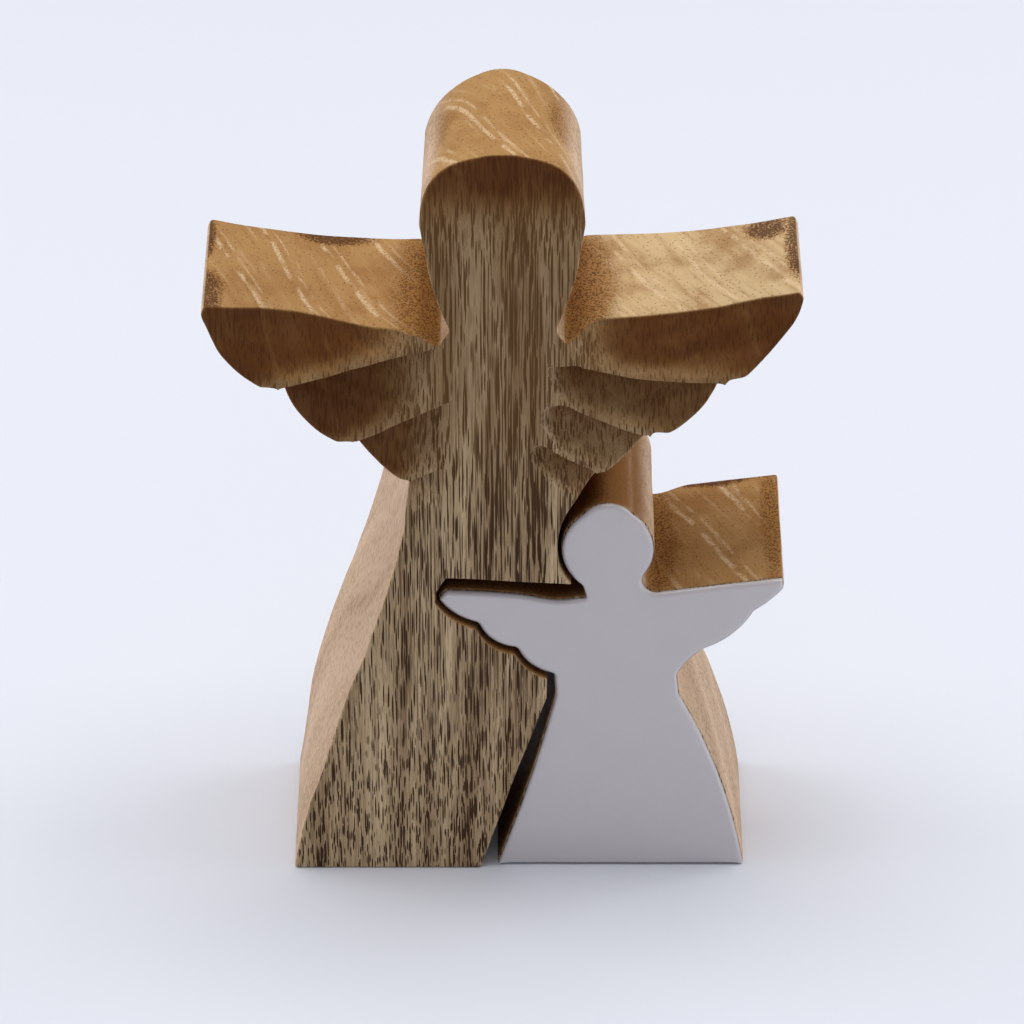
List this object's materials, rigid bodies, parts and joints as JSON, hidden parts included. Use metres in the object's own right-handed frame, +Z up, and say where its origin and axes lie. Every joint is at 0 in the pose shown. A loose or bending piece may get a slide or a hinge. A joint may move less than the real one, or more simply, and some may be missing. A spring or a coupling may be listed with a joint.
{
  "type": "carved wooden angel figurine set",
  "caption": "Carved wooden angel with relief feathers and a smaller white-faced angel that stands in a nest sawn through its skirt and slides out.",
  "frame": {"origin": "on the table, below the large angel's own axis, halfway through the thickness of the board", "axes": "+Z up, +X to the right as seen from the front, +Y away from the front"},
  "size_m": [0.1006, 0.03, 0.15],
  "materials": {
    "wood": "sanded and waxed, open grain",
    "enamel": "glossy white enamel paint"
  },
  "bodies": {
    "mother": {"mother_angel": "wood"},
    "child": {"child_angel": "wood", "child_enamel": "enamel"}
  },
  "joints": [
    {"name": "child_slide", "type": "slide", "parent": "mother", "child": "child", "axis": [0, -1, 0], "range_m": [-0.04, 0.04]}
  ]
}
